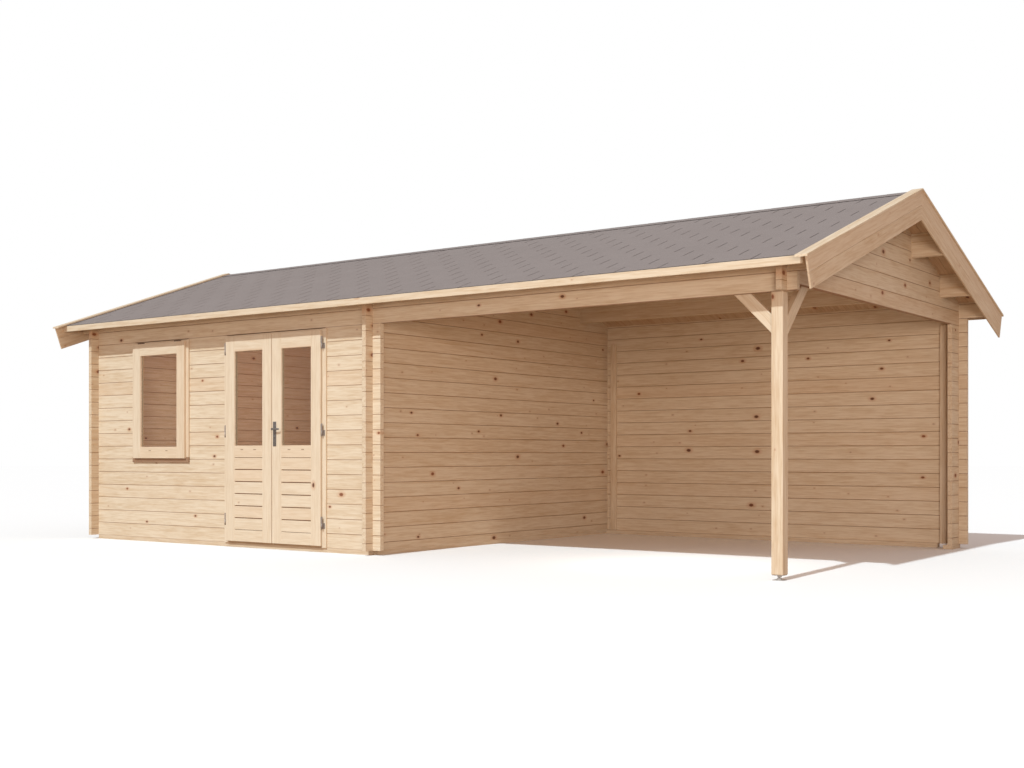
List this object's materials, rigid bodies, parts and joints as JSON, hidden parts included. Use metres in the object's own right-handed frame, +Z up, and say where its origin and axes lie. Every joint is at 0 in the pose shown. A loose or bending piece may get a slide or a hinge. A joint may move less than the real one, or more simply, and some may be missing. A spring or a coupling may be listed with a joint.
{
  "type": "log cabin",
  "caption": "Garden log cabin of interlocking wall logs: one closed room with a glazed double door and a window, beside an open canopy bay on a corner post, under one shallow gable roof.",
  "frame": {"origin": "centre of the cabin's box, on the ground", "axes": "+X along the ridge towards the open canopy bay, +Y towards the back wall, +Z up; the door and window look towards -Y"},
  "size_m": [8.388, 4.646, 3.0428],
  "materials": {
    "wall_logs": "planed",
    "joinery": "planed",
    "roof_timber": "planed",
    "foundation": "sawn",
    "threshold": "oiled",
    "shingle": "gritty",
    "glazing": "clear",
    "ironwork": "galvanised",
    "handle": "satin"
  },
  "bodies": {
    "root": {"foundation_long_beams": "foundation", "foundation_cross_beams": "foundation", "floor_bearers": "foundation", "floor_boards": "roof_timber", "front_wall_left": "wall_logs", "front_wall_right": "wall_logs", "front_top_logs": "wall_logs", "back_wall": "wall_logs", "left_gable_wall": "wall_logs", "partition_wall": "wall_logs", "right_gable_wall": "wall_logs", "right_corner_logs": "wall_logs", "canopy_post": "wall_logs", "post_foot": "ironwork", "front_brace": "wall_logs", "side_brace": "wall_logs", "storm_battens": "wall_logs", "ridge_purlin": "roof_timber", "front_purlins": "roof_timber", "rear_purlins": "roof_timber", "roof_boards_front": "roof_timber", "roof_boards_rear": "roof_timber", "shingles_front": "shingle", "shingles_rear": "shingle", "ridge_shingles": "shingle", "eaves_boards": "joinery", "left_barge_boards": "joinery", "right_barge_boards": "joinery", "left_cap_boards": "joinery", "right_cap_boards": "joinery", "window_frame": "joinery", "window_sash": "joinery", "window_glass": "glazing", "door_frame": "joinery", "door_threshold": "threshold", "frame_hinges": "ironwork"},
    "left_leaf": {"door_left": "joinery", "left_glass": "glazing", "left_hinges": "ironwork"},
    "right_leaf": {"door_right": "joinery", "right_glass": "glazing", "right_hinges": "ironwork", "door_handle": "handle"}
  },
  "joints": [
    {"name": "left_door_swing", "type": "hinge", "parent": "root", "child": "left_leaf", "pos_m": [-1.8807, -2.006, 1], "axis": [0, 0, -1], "range_deg": [0, 110]},
    {"name": "right_door_swing", "type": "hinge", "parent": "root", "child": "right_leaf", "pos_m": [-0.5893, -2.006, 1], "axis": [0, 0, 1], "range_deg": [0, 110]}
  ]
}
